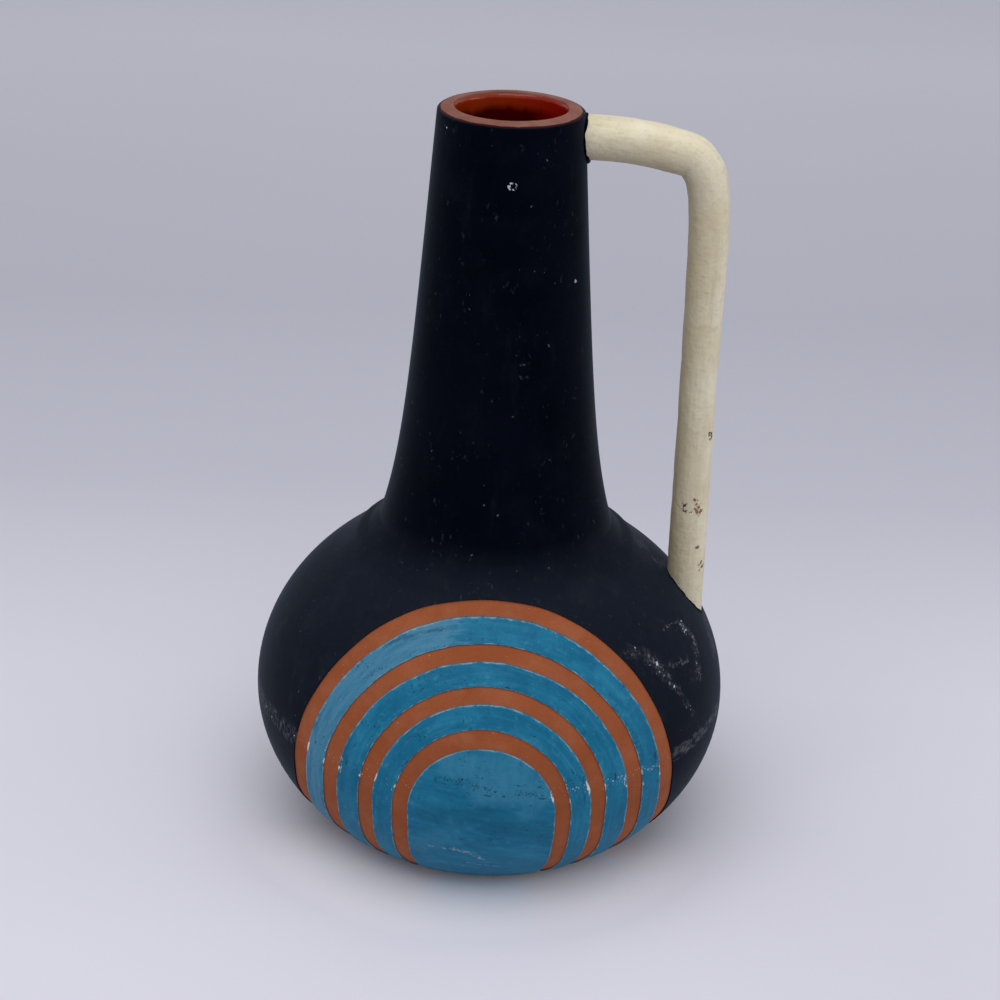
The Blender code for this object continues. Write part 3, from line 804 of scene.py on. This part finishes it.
def enamel_finish(name, seed, overpaint, stroke_along):
    """Satin blue enamel in overlapping strokes, with pale worn edges, dark nicks and rubbed flecks."""
    material, shader, place = new_finish(name)
    tree = material.node_tree
    stroke = add_node(tree, "ShaderNodeAttribute", out="Vector", attribute_name="stroke")
    to_edge = parts(stroke)[2]
    across = parts(place)[0]
    if stroke_along:
        way = stretch(stroke, 60.0, 700.0, 0.0)
    else:
        way = add_node(tree, "ShaderNodeMapping", {
            "Vector": place, "Rotation": (0.0, 0.16, 0.0), "Scale": (0.0140, 0.0160, 0.0017),
        }, vector_type="TEXTURE")
    hairs = grain(way, 1.0, 5.0, 0.65, seed)
    laps = grain(stretch(way, 0.8, 0.22, 0.35), 1.0, 2.0, 0.5, seed + 3)
    mottle = grain(place, 420.0, 4.0, 0.6, seed + 5)
    pool = between(grain(place, 60.0, 5.0, 0.6, seed + 2), 0.35, 0.68)
    colour = lay_over(
        tint(pool, (0.0030, 0.106, 0.204), (0.0080, 0.148, 0.260)),
        (laps, 0.50, 0.62, 0.5, (0.015, 0.184, 0.308)),
        (hairs, 0.50, 0.78, 0.6, (0.040, 0.232, 0.355)),
        (hairs, 0.47, 0.28, 0.5, (0.003, 0.080, 0.160)),
        (mottle, 0.56, 0.74, 0.45, (0.050, 0.240, 0.350)),
        (mottle, 0.44, 0.28, 0.45, (0.002, 0.070, 0.140)),
    )
    uneven = (grain(place, 170.0, 4.0, 0.6, 61.0) - 0.5) * 0.004
    shaken = work_out_way("ADD", place, uneven)
    if overpaint:
        # A second, paler stroke covers the left of the band and ends in a dark drag line.
        ragged = across + (hairs - 0.5) * 0.05
        fresh = between(ragged, -0.0085, -0.0120) * between(ragged, -0.066, -0.052)
        colour = tint(fresh * between(hairs, 0.36, 0.56, 0.35, 0.85), colour, (0.068, 0.208, 0.315))
        patchy = between(grain(place, 210.0, 3.0, 0.6, 63.0), 0.32, 0.54, 0.15, 0.75)
        for start, end in zip(STROKE_END, STROKE_END[1:]):
            drag = near_line(shaken, start, end, STROKE_END_WIDTH)
            colour = tint(drag * patchy, colour, (0.005, 0.060, 0.125))
    if not stroke_along:
        # The field has deep strokes, pale washes that ran down a little, and torn places.
        for start, end, width, strength in DEEP_STROKES:
            close = near_line(shaken, start, end, width)
            colour = lay_over(colour, (close, 0.1, 0.6, strength, (0.0020, 0.090, 0.150)))
        drips = grain(stretch(shaken, 620.0, 620.0, 70.0), 1.0, 3.0, 0.6, 71.0)
        drips = between(drips, 0.36, 0.62, 0.50, 1.0)
        for start, end, width, strength in WASHES:
            wash = between(near_line(shaken, start, end, width), 0.1, 0.6, 0.0, strength)
            colour = tint(wash * drips, colour, (0.034, 0.186, 0.302))
        dots = grain(place, 1700.0, 3.0, 0.62, 73.0)
        for start, end, width in TORN_PLACES:
            close = near_line(shaken, start, end, width)
            mark = between(dots + close * 0.16, 0.63, 0.69, 0.0, 0.70) * between(close, 0.02, 0.15)
            colour = tint(mark, colour, (0.004, 0.028, 0.055))
    dashes = grain(stretch(way, 3.0, 1.0, 1.0), 1.0, 2.0, 0.5, seed + 8)
    torn = near_level(place, RUBBED_LEVEL + 0.002, 0.009) * 0.07
    nicks = between(dashes + torn, 0.69, 0.73, 0.0, 0.75)
    colour = tint(nicks, colour, (0.006, 0.040, 0.075))
    patches = between(grain(place, 120.0, 2.0, 0.5, seed + 14), 0.52, 0.64)
    spots = between(grain(place, 1300.0, 2.0, 0.5, seed + 15), 0.60, 0.66, 0.0, 0.8)
    colour = tint(spots * patches, colour, (0.004, 0.030, 0.060))
    # The edge is frayed and pale, with a painted shadow line at the clay and losses on the rubbed ring.
    frayed = grain(stretch(stroke, 330.0, 900.0, 0.0), 1.0, 4.0, 0.65, seed + 11)
    from_frayed = to_edge - between(frayed, 0.40, 0.75, 0.00002, 0.00060)
    colour = lay_over(
        colour,
        (from_frayed, 0.00020, -0.00010, 0.65, (0.300, 0.390, 0.420)),
        # A painted shadow line just inside each edge, where the enamel steps down to the clay.
        (to_edge, 0.00020, 0.00008, 0.7, (0.030, 0.024, 0.022)),
    )
    lifted = near_level(place, RUBBED_LEVEL - 0.0012, 0.0060) * between(to_edge, 0.0012, 0.0002)
    if not stroke_along:
        lifted = lifted * between(across, 0.0, 0.015)
    lost = between(frayed + lifted * 0.20, 0.64, 0.70, 0.0, 0.9) * between(lifted, 0.05, 0.2)
    colour = tint(lost, colour, (0.62, 0.61, 0.56))
    if stroke_along:
        ring = near_level(place, RUBBED_LEVEL, RUBBED_WIDTH) * between(across, -0.01, 0.03, 0.06, 0.13)
        flecks = grain(place, 1700.0, 2.0, 0.55, 13.0) + ring
        colour = lay_over(colour, (flecks, 0.725, 0.765, 0.85, (0.52, 0.57, 0.58)))
    else:
        crumbs = between(grain(stretch(place, 700.0, 700.0, 1300.0), 1.0, 4.0, 0.66, 75.0), 0.49, 0.60)
        for start, end, width in SCRAPES:
            scrape = between(near_line(shaken, start, end, width), 0.0, 0.6, 0.0, 0.6)
            colour = tint(scrape * crumbs, colour, (0.28, 0.42, 0.48))
    roughness = between(hairs, 0.3, 0.7, 0.46, 0.64)
    dress(shader, colour, roughness, 0.11, hairs * 0.7 + laps * 0.5 - nicks * 0.6, BAND_RELIEF)
    return material


for seed, (which, ((inner_width, inner_rise), (outer_width, outer_rise))) in enumerate(BAND_EDGES.items()):
    leg = ARCH_SPRING_Z - COAT_ABOVE_FLOOR
    arch = math.pi * ((inner_width + outer_width) / 2)
    whole = which == "centre"
    piece = shape_piece("blue_enamel_" + which, band, bpy.data.meshes.new("blank"), {
        "Along": 260, "Across": 44 if whole else 26,
        "Inner Width": inner_width, "Inner Rise": inner_rise,
        "Outer Width": outer_width, "Outer Rise": outer_rise,
        "Leg Share": leg / (2 * leg + arch), "Leg": leg,
        "Waver": BAND_WAVER, "Seed": 3.0 + 5 * seed, "Field": 1.0 if whole else 0.0,
        "Finish": enamel_finish("blue_enamel_" + which, 20.0 * seed, which == "outer", not whole),
    }, 60)
    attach(piece, "root")
    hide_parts("blue_centre" if whole else "blue_arch_" + which)


# Handle: a rod of clay rolled by hand and bent once, scribed to the neck and the shoulder.
# It is painted cream with lengthwise strokes, has painted shade on its inner side and is chipped through to
# the clay.
HANDLE_STATIONS = (
    (0.0192, 0.2325, 0.0067), (0.0245, 0.2323, 0.0068), (0.0336, 0.2318, 0.0068), (0.0390, 0.2312, 0.0068),
    (0.0444, 0.2304, 0.00685), (0.0491, 0.2293, 0.0068), (0.0538, 0.2281, 0.00665), (0.0559, 0.2269, 0.0065),
    (0.0575, 0.2250, 0.00645), (0.0588, 0.2230, 0.0065), (0.0597, 0.2208, 0.00645), (0.0603, 0.2180, 0.0064),
    (0.0609, 0.2140, 0.0063), (0.0614, 0.2070, 0.0062), (0.0617, 0.1980, 0.00615), (0.0618, 0.1800, 0.0060),
    (0.0619, 0.1600, 0.0058), (0.0620, 0.1450, 0.0058), (0.0622, 0.1280, 0.00585), (0.0623, 0.1100, 0.0060),
    (0.0625, 0.0930, 0.0060), (0.0626, 0.0800, 0.0060), (0.0626, 0.0690, 0.0060),
)
ROD_SPACING = 0.0012
ROD_SIDES = 56
ROD_LUMPS = 0.00028
ROD_LUMP_SCALE = 75.0
PAINT = 0.0007
PAINT_RELIEF = 0.00055
SCRIBED_IN = 0.0015
SCRIBED_FROM_Z = 0.030
SCRIBED_UNDER_RIM = 0.0015

roll, given = shaping_tree("rolled_clay", ["Sides"], ["Spacing", "Lumps", "Lump Scale", "Seed"])
path = add_node(roll, "GeometryNodeCurveSplineType", {"Curve": given["Geometry"]}, spline_type="CATMULL_ROM")
path = add_node(roll, "GeometryNodeSetSplineResolution", {"Geometry": path, "Resolution": 24})
path = add_node(roll, "GeometryNodeResampleCurve", {"Curve": path, "Length": given["Spacing"]}, mode="LENGTH")
path = marked(path, "along", add_node(roll, "GeometryNodeSplineParameter", out="Length"))
hoop = add_node(roll, "GeometryNodeCurvePrimitiveCircle", {
    "Resolution": given["Sides"], "Radius": 1.0,
}, "Curve")
hoop = marked(hoop, "round", add_node(roll, "GeometryNodeInputPosition"), "FLOAT_VECTOR")
girth = add_node(roll, "GeometryNodeInputRadius")
rod = add_node(roll, "GeometryNodeCurveToMesh", {
    "Curve": path, "Profile Curve": hoop, "Scale": girth, "Fill Caps": True,
})
spot = add_node(roll, "GeometryNodeInputPosition")
lump = 0.0
for scale, share in ((1.0, 1.0), (3.2, 0.45)):
    lump = lump + (grain(spot, given["Lump Scale"] * scale, 1.0, seed=given["Seed"]) - 0.5) * share
lump = lump * (given["Lumps"] * 2.0)
proud = work_out_way("SCALE", add_node(roll, "GeometryNodeInputNormal"), lump)
end_tree(given, add_node(roll, "GeometryNodeSetPosition", {"Geometry": rod, "Offset": proud}))


def rolled_piece(name, stations, closed, finish, spacing, sides, lumps, lump_scale, seed):
    """A rod or bead rolled along stations of place and half thickness."""
    return shape_piece(name, roll, drawn_curve(name, stations, closed), {
        "Spacing": spacing, "Sides": sides, "Lumps": lumps, "Lump Scale": lump_scale, "Seed": seed,
        "Finish": finish,
    }, 60)


# A paint chip has its degrees round the rod from the front outwards, height, width and colour.
CHIPPED_ROD_OUT = 0.0623
CHIPPED_ROD_RADIUS = 0.0060
PAINT_CHIPS = (
    ((-20.5, 0.1144), 0.0021, (0.110, 0.040, 0.018)),
    ((12, 0.1168), 0.0012, (0.190, 0.085, 0.040)),
    ((17.5, 0.1136), 0.0030, (0.260, 0.120, 0.060)),
    ((55, 0.1388), 0.0022, (0.050, 0.028, 0.016)),
    ((57.5, 0.0930), 0.0026, (0.100, 0.065, 0.030)),
    ((27, 0.1000), 0.0012, (0.160, 0.100, 0.050)),
)


def cream_finish():
    """Cream paint in lengthwise strokes over uneven clay, darker in its pits, with painted shade on the inner
    side, and chipped.
    """
    material, shader, place = new_finish("cream_paint")
    tree = material.node_tree
    along = add_node(tree, "ShaderNodeAttribute", out="Fac", attribute_name="along")
    girth_x, girth_y, _ = parts(add_node(tree, "ShaderNodeAttribute", out="Vector", attribute_name="round"))
    way = together(along * 110.0, girth_x * 4.0, girth_y * 4.0)
    hairs = grain(way, 1.0, 4.0, 0.6)
    strokes = grain(stretch(way, 0.3, 0.5, 0.5), 1.0, 2.0, 0.5, 6.0)
    pits = grain(place, 480.0, 4.0, 0.62, 12.0)
    fine = grain(place, 1500.0, 3.0)
    cloud = between(grain(place, 70.0, 4.0, 0.55, 3.0), 0.3, 0.7)
    colour = lay_over(
        tint(cloud, (0.640, 0.565, 0.385), (0.770, 0.715, 0.545)),
        (strokes, 0.48, 0.70, 0.35, (0.500, 0.440, 0.290)),
        (hairs, 0.52, 0.80, 0.35, (0.400, 0.340, 0.215)),
        (pits, 0.54, 0.76, 0.45, (0.420, 0.360, 0.230)),
        (grain(place, 260.0, 5.0, 0.65, 8.0), 0.60, 0.85, 0.5, (0.300, 0.240, 0.140)),
        # Painted shade on the rod's inner side, towards the neck and under the bar.
        (girth_y, -0.8, 0.9, 0.62, (0.300, 0.240, 0.135)),
    )
    flecks = grain(place, 900.0, 3.0, 0.6, 27.0)
    bare = 0.0
    for (turn, z), width, shade in PAINT_CHIPS:
        turn = math.radians(turn)
        out = CHIPPED_ROD_OUT + CHIPPED_ROD_RADIUS * math.sin(turn)
        centre = (out, -CHIPPED_ROD_RADIUS * math.cos(turn), z)
        close = between(work_out_way("DISTANCE", place, centre), width, 0.2 * width)
        mark = between(flecks + close * 0.16, 0.615, 0.655) * between(close, 0.02, 0.2)
        colour = tint(mark, colour, shade)
        bare = work_out("MAXIMUM", bare, mark)
    height = hairs * 0.35 + strokes * 0.5 + (pits * 0.8 + fine * 0.10) - bare * 0.8
    dress(shader, colour, between(hairs, 0.3, 0.7, 0.44, 0.62), 0.35, height, PAINT_RELIEF)
    return material


def scribing_block():
    """The body as a solid a little under its surface, which the handle's ends are cut to."""
    top = RIM_Z - SCRIBED_UNDER_RIM
    outline = [(0.0, top)]
    for step in steps(160)[::-1]:
        z = SCRIBED_FROM_Z + (top - SCRIBED_FROM_Z) * step
        outline.append((body_radius(z, -SCRIBED_IN), z))
    outline.append((0.0, SCRIBED_FROM_Z))
    return turned_piece("scribing_block", outline, None)


for name, under, finish, node, slot in (
    ("handle_clay", PAINT, bare_clay, "handle", "terracotta_clay"),
    ("handle_cream_painted", 0.0, cream_finish(), "handle_cream_coat", "cream_paint"),
):
    stations = [((x, 0.0, z), girth - under) for x, z, girth in HANDLE_STATIONS]
    rod = rolled_piece(name, stations, False, finish, ROD_SPACING, ROD_SIDES, ROD_LUMPS, ROD_LUMP_SCALE, 2.0)
    cut_away(rod, scribing_block(), 60)
    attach(rod, "root")
    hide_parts(node)


# Joining slip: wet black slip that bedded the handle's two ends and squeezed out round them.
# It was smoothed off with a brush, so it makes a thin uneven bead with a drip under the bar.
BAR_END_RADIUS = 0.0068
ROD_END_RADIUS = 0.0060
ROD_END_X = 0.0627
BEAD = 0.00050
BEAD_SPACING = 0.0004
BEAD_SIDES = 12
BEAD_LUMPS = 0.0003
BEAD_LUMP_SCALE = 420.0
BEAD_PROUD = 0.0001
DRIP = 0.0003

top_bead = []
foot_bead = []
for step in steps(72)[:-1]:
    turn = 2 * math.pi * step
    y = BAR_END_RADIUS * math.sin(turn)
    z = HANDLE_STATIONS[1][1] + BAR_END_RADIUS * math.cos(turn)
    out = math.sqrt(body_radius(z, COAT_FACE) ** 2 - y * y)
    drip = math.exp(-(((turn - math.pi) / 0.40) ** 2))
    ragged = 0.20 * math.sin(3 * turn + 3.4) + 0.15 * math.sin(7 * turn + 1) + 0.1 * math.sin(13 * turn + 2)
    top_bead.append(((out + BEAD_PROUD, y, z - DRIP * drip), BEAD * (1 + ragged + 1.1 * drip)))
    x = ROD_END_X + ROD_END_RADIUS * math.cos(turn)
    y = ROD_END_RADIUS * math.sin(turn)
    share = math.hypot(x, y) / (GLOBE_RADIUS + COAT_FACE)
    z = WIDEST_Z + (SHOULDER_RISE + COAT_FACE) * math.sqrt(1 - share * share)
    ragged = 0.3 * math.sin(2 * turn + 1.0) + 0.2 * math.sin(5 * turn) + 0.15 * math.sin(11 * turn + 2)
    foot_bead.append(((x, y, z), 0.8 * BEAD * (1 + ragged)))
for name, stations, node, seed in (
    ("joining_slip_top", top_bead, "handle_top_lute", 5.0),
    ("joining_slip_foot", foot_bead, "handle_foot_lute", 7.0),
):
    bead = rolled_piece(
        name, stations, True, black_slip, BEAD_SPACING, BEAD_SIDES, BEAD_LUMPS, BEAD_LUMP_SCALE, seed
    )
    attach(bead, "root")
    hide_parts(node)


# Studio: a plain pale paper floor, a large soft light overhead and paler light all round.
# The floor's colour has painted shade behind the vase, where paper would turn away from the light, is paler
# again far behind, has painted shade to its right and painted light close in front of it.
FLOOR_SIDE = 6.0
half = FLOOR_SIDE / 2
floor_mesh = bpy.data.meshes.new("floor")
floor_corners = [(-half, -half, 0.0), (half, -half, 0.0), (half, half, 0.0), (-half, half, 0.0)]
floor_mesh.from_pydata(floor_corners, [], [(0, 1, 2, 3)])
floor = put_in_scene("floor", floor_mesh)
paper, shader, place = new_finish("pale_paper")
floor_x, floor_y, _ = parts(place)
# Painted shade on the floor behind the vase, fading back to painted light far behind.
paper_and_painted_light = lay_over(
    (0.69, 0.68, 0.75),
    (floor_y, -0.08, 0.08, 1.0, (0.665, 0.66, 0.73)),
    (floor_y, 0.08, 0.26, 1.0, (0.518, 0.518, 0.583)),
    (floor_y, 0.26, 0.50, 1.0, (0.483, 0.486, 0.545)),
    (floor_y, 0.50, 1.10, 1.0, (0.635, 0.64, 0.70)),
)
# Painted shade on the floor to the right of the vase.
painted_side_shade = between(floor_x, 0.04, 0.14, 0.0, 0.22) * between(floor_y, 0.12, -0.08)
paper_and_painted_light = tint(painted_side_shade, paper_and_painted_light, (0.46, 0.46, 0.51))
# Painted light on the floor just in front of the vase, where its shadow falls.
round_foot = work_out_way("DISTANCE", place, (-0.003, 0.0, 0.0))
painted_front_light = between(round_foot, 0.085, 0.055) * between(floor_y, -0.02, -0.045)
paper_and_painted_light = tint(painted_front_light, paper_and_painted_light, (0.97, 0.96, 1.0))
paper_and_painted_light = lay_over(paper_and_painted_light, (grain(place, 6.0, 3.0), 0.3, 0.7, 0.04, (0.40, 0.40, 0.45)))
fill(shader, {"Base Color": paper_and_painted_light, "Roughness": 0.85, "Specular IOR Level": 0.2})
floor_mesh.materials.append(paper)

world = bpy.data.worlds.new("studio_air")
bpy.context.scene.world = world
world.use_nodes = True
fill(world.node_tree.nodes["Background"], {"Color": (0.92, 0.93, 1.0, 1.0), "Strength": 0.62})


def soft_light(name, place, target, width, depth, power, colour):
    """A flat soft light that faces a target."""
    data = bpy.data.lights.new(name, "AREA")
    data.shape = "RECTANGLE"
    data.size = width
    data.size_y = depth
    data.energy = power
    data.color = colour
    light = put_in_scene(name, data)
    light.location = place
    light.rotation_euler = (Vector(target) - Vector(place)).to_track_quat("-Z", "Y").to_euler()


soft_light("overhead", (-0.10, -0.40, 1.25), (0.0, 0.0, 0.1), 1.5, 1.2, 10.0, (1.0, 0.99, 0.98))
soft_light("right_side", (0.9, -0.15, 0.32), (0.0, 0.0, 0.16), 0.4, 0.4, 0.9, (1.0, 0.99, 0.97))


# Camera: where the photograph was taken from, above the rim and in front of the panel.
# It looks down at the vase and is turned slightly off level, as a camera held by hand is.
FOCAL_PIXELS = 2250.0
PHOTO_SIDE = 1000.0
CAMERA_PLACE = (0.0, -0.6593, 0.41095)
TILT_DOWN = math.radians(24.407)
TURN_ASIDE = math.radians(-0.103)
ROLL = math.radians(2.285)
lens = bpy.data.cameras.new("photo_camera")
lens.sensor_width = 36.0
lens.lens = FOCAL_PIXELS / PHOTO_SIDE * lens.sensor_width
lens.clip_start = 0.01
lens.clip_end = 20.0
camera = put_in_scene("photo_camera", lens)
aim = Matrix.Translation(CAMERA_PLACE)
for angle, axis in ((TURN_ASIDE, "Z"), (math.pi / 2 - TILT_DOWN, "X"), (ROLL, "Z")):
    aim = aim @ Matrix.Rotation(angle, 4, axis)
camera.matrix_world = aim
bpy.context.scene.camera = camera
bpy.context.scene.view_settings.view_transform = "Standard"
